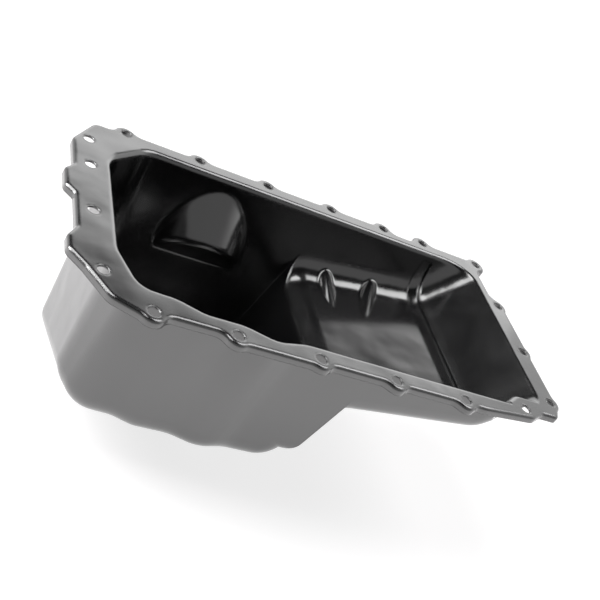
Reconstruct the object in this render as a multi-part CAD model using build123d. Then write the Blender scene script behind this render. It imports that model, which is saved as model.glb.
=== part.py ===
"""Engine oil pan: one deep-drawn steel pressing with a deep sump, a shallow end and a bolt flange.

All sizes are millimetres. The origin is the middle of the bolt rows on the gasket face, +X runs
towards the shallow end, +Y towards the straight side of the flange and +Z up towards the engine.
"""
from build123d import *
import math
import os

# Sheet and bends, each bend measured on the inside of the pan
sheet = 1.5
rim_bend = 4.5
lip_bend = 2.8
lip_height = 6.5
floor_bend = 22.0

# Bolt pattern
bolt_hole = 9.0
shallow_column_x = 202.0
deep_column_x = -198.0
row_y = 108.75
column_start_y = -80.75
side_pitch = 66.0
column_pitch = 62.0

# Flange outline, out to the outer face of the down-turned lip
boss_radius = 10.0
boss_flank = 9.0

# Walls at the opening, where the flat of the flange ends, and their drafts in degrees from vertical
straight_wall_y = 98.5
near_wall_y = -99.25
deep_wall_x = -185.2
side_draft = 2.75
deep_end_draft = 0.5
corner_draft = 2.0

# Depths inside the pan, below the gasket face, and the step and ramp between them
deep_floor = 133.0
shallow_floor = 62.0
floor_slope = 7.5
step_x = 18.0
step_lean = 12.0
step_bend = 28.0
step_crown = 22.0
ramp_top_x = 189.0
ramp_lean = 42.0
ramp_bend = 30.0

# Well in the far half of the sump, which slopes down from the level floor
well_floor = 160.0
well_start_y = -30.0
well_slope = 20.0
well_bend = 14.0

# Clearance dent pressed into the straight side of the sump
dent_x = -70.0
dent_radius = 41.0
dent_lean = 32.0
dent_top = 14.0
dent_drop = 40.0
dent_underside = 52.0
dent_ridge_bend = 6.5
dent_base_bend = 8.0

# Stiffening darts across the bend of the shallow floor: place along the pan and slant in plan
dart_radius = 7.0
dart_far_y = 83.0
dart_near_y = 47.0
dart_rise = 8.0
dart_length = 120.0
dart_bend = 3.0
darts_at = [(53.0, 0.0), (93.0, 20.0)]

# Stiffening bead across the foot of the ramp and up the straight side
bead_width = 11.0
bead_depth = 3.5
bead_x = 145.0
bead_near_y = -68.0
bead_top = 9.0

# Flat left at the shallow end's near corner for its bolt
pad_y = -87.45
pad_corner_x = 163.0
pad_foot_x = 148.0
pad_bend = 12.0

# Drain in the deep floor: hole, welded nut, washer and plug
drain_x = -46.0
drain_y = -53.0
drain_hole = 15.0
thread = 14.0
thread_clearance = 0.1
nut_diameter = 26.0
nut_height = 10.0
washer_diameter = 22.0
washer_thickness = 1.5
washer_clearance = 0.3
plug_flats = 19.0
plug_flange = 24.0
plug_flange_height = 2.0
plug_head_height = 7.0
plug_reach = 2.0

# Height of the construction solids above the gasket face, before they are cut flat
headroom = 30.0


def normal_of(start, end):
    """Unit normal to the right of an edge, which points out of a loop drawn anticlockwise."""
    length = math.dist(start, end)
    return ((end[1] - start[1]) / length, (start[0] - end[0]) / length)


def moved_corners(corners, distances, growth=0.0):
    """Corners of a loop whose edges, each starting at its own corner, move outwards by the distances."""
    count = len(corners)
    moved = []
    for i, (x, y, radius) in enumerate(corners):
        before = corners[i - 1]
        after = corners[(i + 1) % count]
        n1 = normal_of(before[:2], (x, y))
        n2 = normal_of((x, y), after[:2])
        d1 = distances[i - 1]
        d2 = distances[i]
        cross = n1[0] * n2[1] - n1[1] * n2[0]
        dx = (d1 * n2[1] - d2 * n1[1]) / cross
        dy = (d2 * n1[0] - d1 * n2[0]) / cross
        turn = math.copysign(1, cross)
        new_radius = max(radius + turn * growth, 0.0) if radius else 0.0
        moved.append((x + dx, y + dy, new_radius))
    return moved


def loop_face(corners, plane=Plane.XY):
    """Face bounded by straight runs that a tangent arc of its own radius joins at each corner."""
    count = len(corners)
    arcs = []
    for i, (x, y, radius) in enumerate(corners):
        corner = Vector(x, y)
        back = (Vector(*corners[i - 1][:2]) - corner).normalized()
        ahead = (Vector(*corners[(i + 1) % count][:2]) - corner).normalized()
        half_angle = math.radians(back.get_angle(ahead)) / 2
        run = radius / math.tan(half_angle)
        middle = (back + ahead).normalized() * (radius / math.sin(half_angle) - radius)
        arcs.append((corner + back * run, corner + middle, corner + ahead * run))
    edges = []
    for i, (start, middle, end) in enumerate(arcs):
        if (end - start).length > 0:
            edges.append(ThreePointArc(start, middle, end))
        edges.append(Line(end, arcs[(i + 1) % count][0]))
    return plane * make_face(edges)


def bolt_places():
    """Centres of the twenty bolt holes, and whether the flange swells into a boss round each."""
    near = [(-161.0, -row_y, True)] + [(side_pitch * (i - 1.5), -row_y, True) for i in range(4)]
    far = [(side_pitch * (i - 2.5), row_y, True) for i in range(4)]
    far += [(91.0, row_y, True), (137.0, row_y, True)]
    shallow_end = [(shallow_column_x, column_start_y + column_pitch * i, True) for i in range(4)]
    deep_end = [(deep_column_x, y, False) for y in (79.25, 43.25, -15.75)]
    corners = [(-194.0, column_start_y, False), (165.0, -98.75, False)]
    return near + far + shallow_end + deep_end + corners


# Corners of the flange between its bosses, anticlockwise from the sump's near corner.
# Corners of radius 0 lie inside a boss.
flange_corners = [
    (-190.0, -105.25, 12.0),
    (-162.0, -117.25, 0.0),
    (-155.0, -109.45, 0.0),
    (-101.0, -109.45, 0.0),
    (-101.0, -116.25, 0.0),
    (-32.0, -116.25, 0.0),
    (-32.0, -112.75, 0.0),
    (120.0, -112.75, 20.0),
    (172.0, -107.25, 10.0),
    (185.0, -98.75, 8.0),
    (202.5, -98.75, 5.0),
    (209.5, -86.0, 0.0),
    (209.5, 48.0, 0.0),
    (199.3, 58.0, 6.0),
    (199.3, 110.25, 0.0),
    (138.0, 110.25, 0.0),
    (138.0, 107.25, 0.0),
    (90.0, 107.25, 0.0),
    (90.0, 111.75, 0.0),
    (-165.0, 111.75, 0.0),
    (-165.0, 108.75, 0.0),
    (-192.2, 108.25, 9.0),
    (-211.0, 75.0, 12.0),
    (-211.0, 37.75, 4.0),
    (-218.0, 29.25, 7.0),
    (-218.0, 7.25, 7.0),
    (-211.0, -0.75, 4.0),
    (-211.0, -39.75, 4.0),
    (-217.5, -51.75, 7.0),
    (-217.5, -66.75, 8.0),
    (-206.0, -80.75, 5.0),
]


def flange_outline(growth):
    """Outline of the flange, moved outwards by the growth."""
    outline = loop_face(moved_corners(flange_corners, [growth] * len(flange_corners), growth))
    bosses = [(x, y) for x, y, has_boss in bolt_places() if has_boss]
    radius = boss_radius + growth
    for x, y in bosses:
        outline += Pos(x, y) * Circle(radius)
    joints = []
    for vertex in outline.vertices():
        if any(abs(math.dist((x, y), (vertex.X, vertex.Y)) - radius) < 1e-4 for x, y in bosses):
            joints.append(vertex)
    return fillet(joints, boss_flank - growth)


# Corners of the opening, where the flat of the flange ends, anticlockwise from the deep end:
# place, radius at the rim, radius at the floor and the draft of the wall that follows
opening = [
    (deep_wall_x, -51.75, 35.0, 40.0, deep_end_draft),
    (-170.5, -88.75, 14.0, 28.0, corner_draft),
    (-143.0, -90.25, 30.0, 15.0, side_draft),
    (-122.0, -98.0, 30.0, 30.0, side_draft),
    (-92.0, -98.0, 30.0, 40.0, side_draft),
    (-67.0, -105.75, 25.0, 40.0, side_draft),
    (-42.0, near_wall_y, 30.0, 40.0, side_draft),
    (232.0, near_wall_y, 5.0, 5.0, side_draft),
    (232.0, straight_wall_y, 5.0, 5.0, side_draft),
    (-148.5, straight_wall_y, 22.0, 26.0, side_draft),
    (deep_wall_x, 65.25, 28.0, 30.0, deep_end_draft),
]


def wall_outline(z, growth):
    """Outline of the walls at height z, with the sheet's growth added outside."""
    depth = -z / deep_floor
    corners = []
    distances = []
    for x, y, rim_radius, floor_radius, draft in opening:
        corners.append((x, y, rim_radius + depth * (floor_radius - rim_radius)))
        slope = math.radians(draft)
        setback = rim_bend * math.tan((math.pi / 2 - slope) / 2)
        distances.append(z * math.tan(slope) + growth / math.cos(slope) - setback)
    return loop_face(moved_corners(corners, distances, growth), Plane.XY.offset(z))


def floor_profile(growth):
    """Side view of the space inside: deep floor, step, sloping shallow floor and end ramp."""
    floor_tan = math.tan(math.radians(floor_slope))
    lean_tan = math.tan(math.radians(step_lean))
    ramp_tan = math.tan(math.radians(ramp_lean))
    step_foot_x = step_x - (deep_floor - shallow_floor) * lean_tan
    foot_depth = (shallow_floor - (ramp_top_x - step_x) * floor_tan) / (1 - ramp_tan * floor_tan)
    ramp_foot_x = ramp_top_x - foot_depth * ramp_tan
    top = 2 * headroom
    corners = [
        (deep_column_x - top, top, 0.0),
        (deep_column_x - top, -deep_floor, 0.0),
        (step_foot_x, -deep_floor, step_bend),
        (step_x, -shallow_floor, step_crown),
        (ramp_foot_x, -foot_depth, ramp_bend),
        (ramp_top_x + top * ramp_tan, top, 0.0),
    ]
    return loop_face(moved_corners(corners, [growth] * len(corners), growth), Plane.XZ)


def above(origin, normal, growth):
    """Everything on the upper side of a plane that the sheet's growth moves outwards."""
    size = 4 * shallow_column_x
    plane = Plane(origin=origin, z_dir=normal).offset(-growth)
    return plane * Box(size, size, size, align=(Align.CENTER, Align.CENTER, Align.MIN))


def basin(growth):
    """The space inside the pan, or with the sheet's growth its outside, standing up past the gasket face."""
    base = -well_floor - 2 * sheet - bead_depth
    walls = loft([wall_outline(headroom, growth), wall_outline(base, growth)], ruled=True)
    shelf = walls & extrude(floor_profile(growth), amount=3 * row_y, both=True)
    low_faces = [face for face in shelf.faces() if face.center().Z < headroom / 2]
    edges = [edge for face in low_faces if face.geom_type != GeomType.BSPLINE for edge in face.edges()]
    foot = [edge for edge in edges if edges.count(edge) == 1 and edge.center().Z < headroom - 1]
    return (fillet(foot, floor_bend + growth) - well_room()) + well(walls, growth)


def well_slope_plane(growth):
    """Everything above the well's slope."""
    slope = math.radians(well_slope)
    return above((0, well_start_y, -deep_floor), (0, math.sin(slope), math.cos(slope)), growth)


def well_room():
    """Block inside the well, where the level floor's bend along the deep end isn't wanted."""
    deep_end = Box(shallow_column_x, 4 * row_y, 2 * deep_floor, align=(Align.MAX, Align.CENTER, Align.MAX))
    deep_end = Pos(dent_x + dent_radius, 0, -shallow_floor - dent_drop) * deep_end
    return deep_end & well_slope_plane(-well_bend - sheet)


def well(walls, growth):
    """Deeper far half of the sump, from the level floor down a slope to the well's own floor."""
    lean = math.radians(step_lean)
    level = above((0, 0, -well_floor), (0, 0, 1), growth)
    step = above((step_x, 0, -shallow_floor), (-math.cos(lean), 0, math.sin(lean)), growth)
    space = walls & level & well_slope_plane(growth) & step
    floors = [f for f in space.faces() if f.geom_type == GeomType.PLANE and f.center().Z < -shallow_floor]
    edges = [edge for face in floors for edge in face.edges() if edge.center().Z < -shallow_floor]
    return fillet([edge for i, edge in enumerate(edges) if edge not in edges[:i]], well_bend + growth)


def bead(growth):
    """Groove pressed outwards across the foot of the ramp and up the straight side."""
    half = bead_width / 2 + growth
    height = 2 * (deep_floor + headroom)
    strip = Box(2 * half, 2 * row_y, height, align=(Align.CENTER, Align.MIN, Align.MAX))
    end = Cylinder(half, height, align=(Align.CENTER, Align.CENTER, Align.MAX))
    return basin(growth + bead_depth) & (Pos(bead_x, bead_near_y, -bead_top) * (strip + end))


def dent(growth):
    """Leaning round dent with a sloping underside, which leaves room beside the sump."""
    lean = math.radians(dent_lean)
    under = math.radians(dent_underside)
    wall_y = straight_wall_y - rim_bend - dent_top * math.tan(math.radians(side_draft))
    axis_y = wall_y + dent_radius * math.cos(lean)
    axis_z = -dent_top - dent_radius * math.sin(lean)
    ridge_y = wall_y - dent_drop * math.tan(lean)
    ridge_z = -dent_top - dent_drop
    along = Plane(origin=(dent_x, axis_y, axis_z), z_dir=(0, -math.sin(lean), -math.cos(lean)))
    round_part = along * Cylinder(dent_radius - growth, 4 * row_y)
    upper_part = above((dent_x, ridge_y, ridge_z), (0, math.sin(under), math.cos(under)), -growth)
    block = round_part & upper_part
    ridge = block.edges().filter_by(GeomType.ELLIPSE).sort_by(Axis.Z)[0]
    return fillet(ridge, dent_ridge_bend - growth)


def darts(growth):
    """Short round ribs that lie across the bend between the straight side and the shallow floor."""
    ribs = []
    for x, slant in darts_at:
        floor_z = -shallow_floor + (x - step_x) * math.tan(math.radians(floor_slope))
        side = (dart_far_y - dart_near_y) / 2 * math.tan(math.radians(slant))
        top = Vector(x + side, dart_far_y, floor_z + dart_rise)
        bottom = Vector(x - side, dart_near_y, floor_z + 0.5)
        direction = (bottom - top).normalized()
        across = Vector(1, 0, 0)
        down = direction.cross(across).normalized()
        if down.Z > 0:
            down = down * -1
        plane = Plane(origin=(top + bottom) / 2 + down * dart_radius, z_dir=direction)
        ribs.append(plane * Cylinder(dart_radius - growth, dart_length))
    return ribs


def pad(growth):
    """Upright block that keeps the near corner of the shallow end out of the basin."""
    shift = rim_bend - growth
    far = 2 * shallow_column_x
    corners = [
        (pad_foot_x, -far, 0.0),
        (far, -far, 0.0),
        (far, pad_y, 0.0),
        (pad_corner_x, pad_y, pad_bend + growth),
        (pad_foot_x, near_wall_y, 0.0),
    ]
    moved = moved_corners(corners, [0.0, 0.0, shift, shift, 0.0])
    return extrude(loop_face(moved, Plane.XY.offset(-deep_floor)), amount=2 * deep_floor)


def edges_between(solid, low, high):
    """Edges of a solid whose centres lie inside the box between two corners."""
    found = []
    for edge in solid.edges():
        centre = edge.center()
        if low.X < centre.X < high.X and low.Y < centre.Y < high.Y and low.Z < centre.Z < high.Z:
            found.append(edge)
    return found


def form(growth):
    """Basin with its dent, darts, bead and pad, and with the bends where they meet it."""
    solid = basin(growth) - dent(growth)
    reach = dent_radius + dent_base_bend
    low = Vector(dent_x - reach, straight_wall_y - rim_bend - dent_base_bend, -shallow_floor - dent_drop)
    high = Vector(dent_x + reach, straight_wall_y + sheet, -dent_top / 2)
    solid = fillet(edges_between(solid, low, high), dent_base_bend + growth)
    for rib in darts(growth):
        meeting = (solid & rib).bounding_box()
        solid = solid - rib
        margin = Vector(1, 1, 1)
        solid = fillet(edges_between(solid, meeting.min - margin, meeting.max + margin), dart_bend + growth)
    return solid + bead(growth) - pad(growth)


def flange_plate():
    """Flat of the flange with its bosses and the lip turned down all round."""
    cap = extrude(flange_outline(0.0), amount=-lip_height)
    cap = fillet(cap.faces().sort_by(Axis.Z)[-1].edges(), lip_bend)
    hollow = extrude(Plane.XY.offset(-lip_height) * flange_outline(-sheet), amount=lip_height - sheet)
    hollow = fillet(hollow.faces().sort_by(Axis.Z)[-1].edges(), lip_bend - sheet)
    return cap - hollow


def opening_edges(solid, height):
    """Edges round the opening in the largest level face at a height."""
    level = [f for f in solid.faces() if f.geom_type == GeomType.PLANE and abs(f.center().Z - height) < 1e-3]
    flat = max(level, key=lambda face: face.area if abs(face.normal_at().Z) > 0.99 else 0.0)
    return flat.inner_wires()[0].edges()


def oil_pan():
    """The pressing: flange and basin in one sheet, with the rim bend between them."""
    size = 4 * shallow_column_x
    below = Pos(0, 0, -sheet) * Box(size, size, size, align=(Align.CENTER, Align.CENTER, Align.MAX))
    pan = flange_plate() + (form(sheet) & below)
    pan = fillet(opening_edges(pan, -sheet), rim_bend - sheet)
    pan = pan - form(0.0)
    pan = fillet(opening_edges(pan, 0.0), rim_bend)
    for x, y, _ in bolt_places():
        pan = pan - Pos(x, y, 0) * Cylinder(bolt_hole / 2, 4 * lip_height)
    return pan - Pos(drain_x, drain_y, -deep_floor) * Cylinder(drain_hole / 2, 4 * sheet)


def drain_nut():
    """Round nut on the inside of the deep floor."""
    body = Cylinder(nut_diameter / 2, nut_height, align=(Align.CENTER, Align.CENTER, Align.MIN))
    body = chamfer(body.edges().sort_by(Axis.Z)[-1], 1.0)
    bore = Cylinder(thread / 2 + thread_clearance, 4 * nut_height)
    return Pos(drain_x, drain_y, -deep_floor) * (body - bore)


def drain_washer():
    """Flat ring between the plug's flange and the underside of the floor."""
    ring = Cylinder(washer_diameter / 2, washer_thickness, align=(Align.CENTER, Align.CENTER, Align.MAX))
    hole = Cylinder(thread / 2 + washer_clearance, 4 * washer_thickness)
    return Pos(drain_x, drain_y, -deep_floor - sheet) * (ring - hole)


def drain_plug():
    """Screw with a flange and a hexagon head, seated against the washer."""
    down = (Align.CENTER, Align.CENTER, Align.MAX)
    up = (Align.CENTER, Align.CENTER, Align.MIN)
    flange = Cylinder(plug_flange / 2, plug_flange_height, align=down)
    head = extrude(RegularPolygon(plug_flats / 2, 6, major_radius=False), amount=-plug_head_height)
    head = Pos(0, 0, -plug_flange_height) * head
    end_radius = plug_flats / 2 - 0.5
    cone = Cone(end_radius, end_radius + 2 * plug_head_height, plug_head_height, align=up)
    head = head & Pos(0, 0, -plug_flange_height - plug_head_height) * cone
    length = washer_thickness + sheet + nut_height + plug_reach
    shank = Cylinder(thread / 2, length, align=up)
    shank = chamfer(shank.edges().sort_by(Axis.Z)[-1], 1.0)
    return Pos(drain_x, drain_y, -deep_floor - sheet - washer_thickness) * (flange + head + shank)


os.makedirs("parts", exist_ok=True)
export_step(oil_pan(), "parts/oil_pan.step")
export_step(drain_nut(), "parts/drain_nut.step")
export_step(drain_washer(), "parts/drain_washer.step")
export_step(drain_plug(), "parts/drain_plug.step")
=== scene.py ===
"""Engine oil pan: finishes of the pressing and its drain, and a white studio round them.

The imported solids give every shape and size. This file adds the black electrocoat of the pressing, the
metals of the drain, the floor, the light and the camera. Lengths are metres unless a name says mm.
"""
import math

import bmesh
import bpy
from mathutils import Matrix, Vector


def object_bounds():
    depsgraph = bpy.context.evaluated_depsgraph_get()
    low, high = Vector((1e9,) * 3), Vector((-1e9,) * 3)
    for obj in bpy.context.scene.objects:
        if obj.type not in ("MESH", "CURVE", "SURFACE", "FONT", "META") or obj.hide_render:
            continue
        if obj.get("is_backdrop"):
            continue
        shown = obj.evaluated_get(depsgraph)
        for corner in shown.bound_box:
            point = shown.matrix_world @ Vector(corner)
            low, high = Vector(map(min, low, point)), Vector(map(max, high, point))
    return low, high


bl_info = {
    "name": "Engine oil pan",
    "version": (1, 0, 0),
    "blender": (4, 5, 0),
    "location": "View3D > Sidebar > Oil pan",
    "description": "Finishes a pressed steel oil pan and sets it in a white studio",
    "category": "Object",
}

MM = 0.001
WHITE = (1.0, 1.0, 1.0, 1.0)

# Electrocoat: how far the smears change its roughness each way, and the height of the waves that
# drawing leaves in the sheet and of the grain in the film.
SMEAR_BLUR = 0.03
WAVE_HEIGHT_MM = 1.2
GRAIN_HEIGHT_MM = 0.2

# Studio room, as parts of white: the even light that it gives, and what a gloss finish sees in its
# ceiling and in its near side. The directions are the pan's. The pan leaned on its sump when it was
# photographed and stands level here, so the ceiling's middle isn't straight above it.
ROOM_LIGHT = 0.15
CEILING = (-0.2, 0.15, 0.97)
CEILING_SHOWS = 0.03
NEAR_SIDE = (-0.304, -0.942, 0.144)
NEAR_SIDE_SHOWS = 0.4

# Floor and lamps: half the paper's width, which is out of every view, the pan's middle, and the floor
# beside the sump's end.
PAPER_REACH = 6.0
MIDDLE = (0.0, 0.0, -0.05)
END_FLOOR = (-0.3, 0.12, -0.16)

# Camera: its place and turn, fitted to the bolt holes in the photograph.
CAMERA_PLACE = (-0.36247, -0.57132, 0.35047)
CAMERA_RIGHT = (0.84799, -0.19827, 0.49152)
CAMERA_UP = (-0.26545, 0.64381, 0.71767)
SENSOR_WIDTH_MM = 36.0

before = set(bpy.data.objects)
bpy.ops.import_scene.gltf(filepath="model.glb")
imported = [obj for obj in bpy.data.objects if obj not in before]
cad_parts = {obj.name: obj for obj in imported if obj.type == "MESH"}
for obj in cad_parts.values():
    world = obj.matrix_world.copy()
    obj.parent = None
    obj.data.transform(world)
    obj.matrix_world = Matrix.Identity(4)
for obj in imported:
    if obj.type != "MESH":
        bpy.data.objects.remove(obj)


def linear(hex_colour):
    """Linear RGB of an sRGB hex colour such as 3a3b3c."""
    channels = [int(hex_colour[i:i + 2], 16) / 255 for i in (0, 2, 4)]
    return [c / 12.92 if c <= 0.04045 else ((c + 0.055) / 1.055) ** 2.4 for c in channels]


def add_node(tree, kind, settings=None, links=None):
    """Adds a node. Settings are its sockets' values or its own attributes, links are its inputs' sources."""
    node = tree.nodes.new(kind)
    for key, value in (settings or {}).items():
        if isinstance(key, int) or key in node.inputs:
            node.inputs[key].default_value = value
        else:
            setattr(node, key, value)
    for key, source in (links or {}).items():
        tree.links.new(source, node.inputs[key])
    return node


def new_material(name):
    """Empty node material and its tree."""
    material = bpy.data.materials.new(name)
    material.use_nodes = True
    material.node_tree.nodes.clear()
    return material, material.node_tree


def dress(node_name, material):
    """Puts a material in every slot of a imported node."""
    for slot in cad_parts[node_name].material_slots:
        slot.material = material


def electrocoat(settings):
    """Black electrocoat over deep-drawn steel: a thin dipped and baked paint film.

    The film is black through and through, and all that shows on it is what it mirrors, softly. So it
    goes darker wherever the pan only sees itself. Handling leaves broad faint smears, which only
    change how sharply it mirrors. A baked film has an IOR of about 1.6, and it is raised here until
    the flange mirrors as brightly as in the photograph.
    """
    material, tree = new_material("Black electrocoat, dipped and baked")
    place = add_node(tree, "ShaderNodeTexCoord").outputs["Object"]
    smears = add_node(
        tree,
        "ShaderNodeTexNoise",
        {"Scale": 1 / (settings.smear_mm * MM), "Detail": 3.0, "Roughness": 0.55, "Distortion": 0.6},
        {"Vector": place},
    )
    blur = add_node(
        tree,
        "ShaderNodeMapRange",
        {
            "From Min": 0.35,
            "From Max": 0.65,
            "To Min": settings.coat_roughness - SMEAR_BLUR,
            "To Max": settings.coat_roughness + SMEAR_BLUR,
        },
        {"Value": smears.outputs["Fac"]},
    )
    bends = add_node(tree, "ShaderNodeBevel", {"samples": 8, "Radius": settings.press_bend_mm * MM})
    waves = add_node(
        tree,
        "ShaderNodeTexNoise",
        {"Scale": 1 / (settings.wave_mm * MM), "Detail": 1.5, "Roughness": 0.4},
        {"Vector": place},
    )
    sheet = add_node(
        tree,
        "ShaderNodeBump",
        {"Strength": 1.0, "Distance": WAVE_HEIGHT_MM * MM},
        {"Height": waves.outputs["Fac"], "Normal": bends.outputs["Normal"]},
    )
    grain = add_node(
        tree,
        "ShaderNodeTexNoise",
        {"Scale": 1 / (settings.grain_mm * MM), "Detail": 1.0},
        {"Vector": place},
    )
    film = add_node(
        tree,
        "ShaderNodeBump",
        {"Strength": 0.05, "Distance": GRAIN_HEIGHT_MM * MM},
        {"Height": grain.outputs["Fac"], "Normal": sheet.outputs["Normal"]},
    )
    shader = add_node(
        tree,
        "ShaderNodeBsdfPrincipled",
        {
            "Base Color": (*settings.coat_colour, 1.0),
            "IOR": 2.15,
            "Coat Weight": 0.4,
            "Coat Roughness": 0.12,
        },
        {"Roughness": blur.outputs["Result"], "Normal": film.outputs["Normal"]},
    )
    add_node(tree, "ShaderNodeOutputMaterial", None, {"Surface": shader.outputs["BSDF"]})
    return material


def metal(name, colour, roughness):
    """Bare or plated metal with one even finish."""
    material, tree = new_material(name)
    shader = add_node(
        tree,
        "ShaderNodeBsdfPrincipled",
        {"Base Color": (*colour, 1.0), "Metallic": 1.0, "Roughness": roughness},
    )
    add_node(tree, "ShaderNodeOutputMaterial", None, {"Surface": shader.outputs["BSDF"]})
    return material


def ray_is(tree, *kinds):
    """1 for a ray of any of these kinds of Light Path's, 0 for every other ray."""
    path = add_node(tree, "ShaderNodeLightPath")
    found = path.outputs[kinds[0]]
    for kind in kinds[1:]:
        found = add_node(
            tree,
            "ShaderNodeMath",
            {"operation": "MAXIMUM"},
            {0: found, 1: path.outputs[kind]},
        ).outputs[0]
    return found


def darker_towards(tree, towards, start, end, shows):
    """White that fades to what it shows towards a direction. Start and end are cosines from there."""
    place = add_node(tree, "ShaderNodeTexCoord").outputs["Generated"]
    along = add_node(
        tree,
        "ShaderNodeVectorMath",
        {"operation": "DOT_PRODUCT", 1: towards},
        {0: place},
    )
    return add_node(
        tree,
        "ShaderNodeMapRange",
        {
            "interpolation_type": "SMOOTHSTEP",
            "From Min": start,
            "From Max": end,
            "To Min": 1.0,
            "To Max": shows,
        },
        {"Value": along.outputs["Value"]},
    ).outputs["Result"]


def white_room():
    """World: white to look at, and an even light. What it shows a gloss finish is darker overhead and
    on the near side, as a studio is, so that the inside of the pan stays black."""
    world = bpy.data.worlds.new("studio")
    world.use_nodes = True
    tree = world.node_tree
    tree.nodes.clear()
    mirrored = add_node(
        tree,
        "ShaderNodeMath",
        {"operation": "MULTIPLY"},
        {
            0: darker_towards(tree, CEILING, 0.57, 0.65, CEILING_SHOWS),
            1: darker_towards(tree, NEAR_SIDE, -0.2, 0.5, NEAR_SIDE_SHOWS),
        },
    )
    # Sockets 2 and 3 of Mix are its two numbers.
    given = add_node(
        tree,
        "ShaderNodeMix",
        {2: ROOM_LIGHT},
        {"Factor": ray_is(tree, "Is Glossy Ray"), 3: mirrored.outputs[0]},
    )
    strength = add_node(
        tree,
        "ShaderNodeMath",
        {"operation": "MAXIMUM"},
        {0: ray_is(tree, "Is Camera Ray", "Is Transmission Ray"), 1: given.outputs[0]},
    )
    sky = add_node(tree, "ShaderNodeBackground", {"Color": WHITE}, {"Strength": strength.outputs[0]})
    add_node(tree, "ShaderNodeOutputWorld", None, {"Surface": sky.outputs["Background"]})
    return world


def paper(settings):
    """White studio paper: it fills itself up to white, and only part of its light can be shaded."""
    material, tree = new_material("White studio paper")
    shaded = add_node(tree, "ShaderNodeBsdfDiffuse", {"Color": (*settings.paper_shade, 1.0)})
    seen = ray_is(tree, "Is Camera Ray", "Is Glossy Ray", "Is Transmission Ray")
    strength = add_node(
        tree,
        "ShaderNodeMath",
        {"operation": "MULTIPLY", 1: settings.paper_fill},
        {0: seen},
    )
    glow = add_node(tree, "ShaderNodeEmission", {"Color": WHITE}, {"Strength": strength.outputs[0]})
    both = add_node(tree, "ShaderNodeAddShader", None, {0: shaded.outputs[0], 1: glow.outputs[0]})
    add_node(tree, "ShaderNodeOutputMaterial", None, {"Surface": both.outputs[0]})
    return material


def hang(lamp, place, target):
    """Hangs a lamp at a place, turned to a target."""
    holder = bpy.data.objects.new(lamp.name, lamp)
    turn = (Vector(target) - Vector(place)).to_track_quat("-Z", "Y").to_matrix().to_4x4()
    holder.matrix_world = Matrix.Translation(place) @ turn
    bpy.context.scene.collection.objects.link(holder)


def soft_box(name, place, target, width, height, power):
    """Rectangular lamp that glows evenly over its face."""
    lamp = bpy.data.lights.new(name, "AREA")
    lamp.shape = "RECTANGLE"
    lamp.size = width
    lamp.size_y = height
    lamp.energy = power
    hang(lamp, place, target)


def broad_sun(name, place, target, angle, strength):
    """Round lamp far away that spans an angle in degrees, so it lights the whole floor alike."""
    lamp = bpy.data.lights.new(name, "SUN")
    lamp.angle = math.radians(angle)
    lamp.energy = strength
    hang(lamp, place, target)


class OilPanFinish(bpy.types.PropertyGroup):
    """Colours and grain of the pan's finishes."""

    coat_colour: bpy.props.FloatVectorProperty(
        name="Coat colour",
        description="Colour of the electrocoat's film",
        subtype="COLOR",
        size=3,
        min=0.0,
        max=1.0,
        default=linear("0b0b0c"),
    )
    coat_roughness: bpy.props.FloatProperty(
        name="Coat roughness",
        description="Blur of what the electrocoat mirrors",
        subtype="FACTOR",
        default=0.2,
        min=0.05,
        max=1.0,
    )
    smear_mm: bpy.props.FloatProperty(
        name="Smear size",
        description="Width of the faint handling smears, in millimetres",
        default=70.0,
        min=5.0,
    )
    grain_mm: bpy.props.FloatProperty(
        name="Film grain",
        description="Width of the waves in the paint film, in millimetres",
        default=1.6,
        min=0.2,
    )
    wave_mm: bpy.props.FloatProperty(
        name="Sheet waves",
        description="Width of the shallow waves that drawing leaves in the sheet, in millimetres",
        default=40.0,
        min=5.0,
    )
    press_bend_mm: bpy.props.FloatProperty(
        name="Press bend",
        description="Radius that light sees on the pressing's creases, in millimetres",
        default=3.2,
        min=0.1,
    )


class OilPanStudio(bpy.types.PropertyGroup):
    """Floor and camera."""

    floor_gap_mm: bpy.props.FloatProperty(
        name="Floor gap",
        description="Height of the pan's lowest point above the floor, in millimetres",
        default=0.0,
        min=0.0,
    )
    paper_shade: bpy.props.FloatVectorProperty(
        name="Paper shade",
        description="Part of the paper's white that the pan can shade",
        subtype="COLOR",
        size=3,
        min=0.0,
        max=1.0,
        default=(0.42, 0.41, 0.415),
    )
    paper_fill: bpy.props.FloatProperty(
        name="Paper fill",
        description="Part of the paper's white that stays even in shadow",
        subtype="FACTOR",
        default=0.76,
        min=0.0,
        max=1.0,
    )
    lens: bpy.props.FloatProperty(
        name="Lens",
        description="Focal length of the camera, in millimetres",
        unit="CAMERA",
        default=57.03,
        min=10.0,
    )


class OILPAN_OT_coat_pressing(bpy.types.Operator):
    """Gives the pressing and its welded nut their black electrocoat"""

    bl_idname = "oilpan.coat_pressing"
    bl_label = "Coat the pressing"

    def execute(self, context):
        coat = electrocoat(context.scene.oil_pan_finish)
        for name in ("oil_pan", "drain_nut"):
            dress(name, coat)
        return {"FINISHED"}


class OILPAN_OT_finish_drain(bpy.types.Operator):
    """Gives the drain plug and its washer their metals"""

    bl_idname = "oilpan.finish_drain"
    bl_label = "Finish the drain"

    def execute(self, context):
        # Zinc plating with a clear passivation: pale, slightly blue and softly glossy.
        zinc = metal("Zinc-plated steel, passivated", linear("b4b6ba"), roughness=0.34)
        dress("drain_plug", zinc)
        # Soft rolled aluminium: bright, with the blur of its rolling.
        aluminium = metal("Aluminium, rolled", linear("d2d3d4"), roughness=0.4)
        dress("drain_washer", aluminium)
        return {"FINISHED"}


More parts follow.
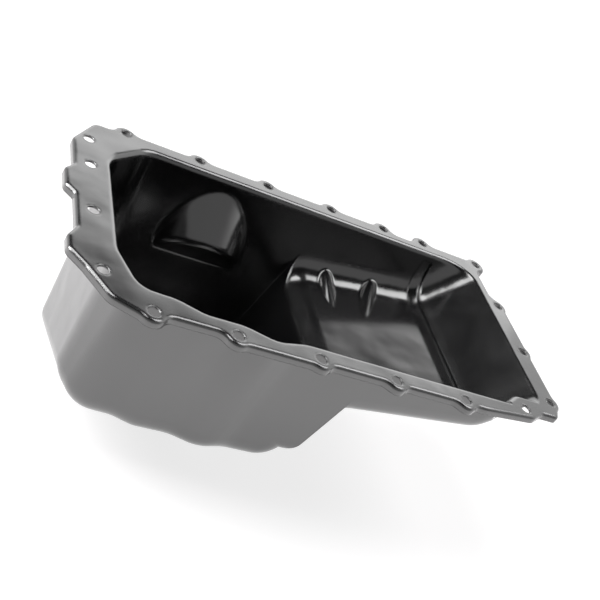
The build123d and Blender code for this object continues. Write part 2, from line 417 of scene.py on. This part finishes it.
class OILPAN_OT_build_studio(bpy.types.Operator):
    """Sets the white floor, the soft light and the camera"""

    bl_idname = "oilpan.build_studio"
    bl_label = "Build the studio"

    def execute(self, context):
        settings = context.scene.oil_pan_studio
        scene = context.scene
        scene.view_settings.view_transform = "Standard"

        low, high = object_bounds()
        paper_mesh = bpy.data.meshes.new("paper")
        shape = bmesh.new()
        bmesh.ops.create_grid(shape, x_segments=1, y_segments=1, size=PAPER_REACH)
        floor_height = low[2] - settings.floor_gap_mm * MM
        bmesh.ops.translate(shape, vec=(0.0, 0.0, floor_height), verts=shape.verts)
        shape.to_mesh(paper_mesh)
        shape.free()
        paper_mesh.materials.append(paper(settings))
        floor = bpy.data.objects.new("paper", paper_mesh)
        scene.collection.objects.link(floor)
        floor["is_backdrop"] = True

        scene.world = white_room()
        # The two suns light the pan and the floor evenly, and show as the highlights on the bends
        # inside. The flange mirrors the box behind, and the sump's end wall mirrors the floor that
        # the end box lights.
        broad_sun("overhead", (-0.44, 0.23, 0.868), MIDDLE, angle=35.0, strength=1.4)
        broad_sun("front", (0.5, 0.12, 0.86), MIDDLE, angle=34.0, strength=1.1)
        soft_box("behind", (0.36, 1.39, 0.54), MIDDLE, width=1.9, height=0.75, power=4.0)
        soft_box("end", (-0.85, 0.15, 0.3), END_FLOOR, width=0.4, height=0.4, power=7.5)

        camera = bpy.data.cameras.new("camera")
        camera.sensor_width = SENSOR_WIDTH_MM
        camera.lens = settings.lens
        holder = bpy.data.objects.new("camera", camera)
        right, up = Vector(CAMERA_RIGHT), Vector(CAMERA_UP)
        turn = Matrix((right, up, right.cross(up))).transposed().to_4x4()
        holder.matrix_world = Matrix.Translation(CAMERA_PLACE) @ turn
        scene.collection.objects.link(holder)
        scene.camera = holder
        return {"FINISHED"}


class OILPAN_PT_sidebar(bpy.types.Panel):
    """Lists the pan's settings and the steps that use them"""

    bl_idname = "OILPAN_PT_sidebar"
    bl_label = "Oil pan"
    bl_space_type = "VIEW_3D"
    bl_region_type = "UI"
    bl_category = "Oil pan"

    def draw(self, context):
        for settings in (context.scene.oil_pan_finish, context.scene.oil_pan_studio):
            for key in settings.__annotations__:
                self.layout.prop(settings, key)
        for operator in OPERATORS:
            self.layout.operator(operator.bl_idname)


GROUPS = (OilPanFinish, OilPanStudio)
OPERATORS = (OILPAN_OT_coat_pressing, OILPAN_OT_finish_drain, OILPAN_OT_build_studio)
CLASSES = GROUPS + OPERATORS + (OILPAN_PT_sidebar,)


def register():
    for item in CLASSES:
        bpy.utils.register_class(item)
    bpy.types.Scene.oil_pan_finish = bpy.props.PointerProperty(type=OilPanFinish)
    bpy.types.Scene.oil_pan_studio = bpy.props.PointerProperty(type=OilPanStudio)


def unregister():
    del bpy.types.Scene.oil_pan_studio
    del bpy.types.Scene.oil_pan_finish
    for item in reversed(CLASSES):
        bpy.utils.unregister_class(item)


def main():
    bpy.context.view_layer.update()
    register()
    bpy.ops.oilpan.coat_pressing()
    bpy.ops.oilpan.finish_drain()
    bpy.ops.oilpan.build_studio()


if __name__ == "__main__":
    main()
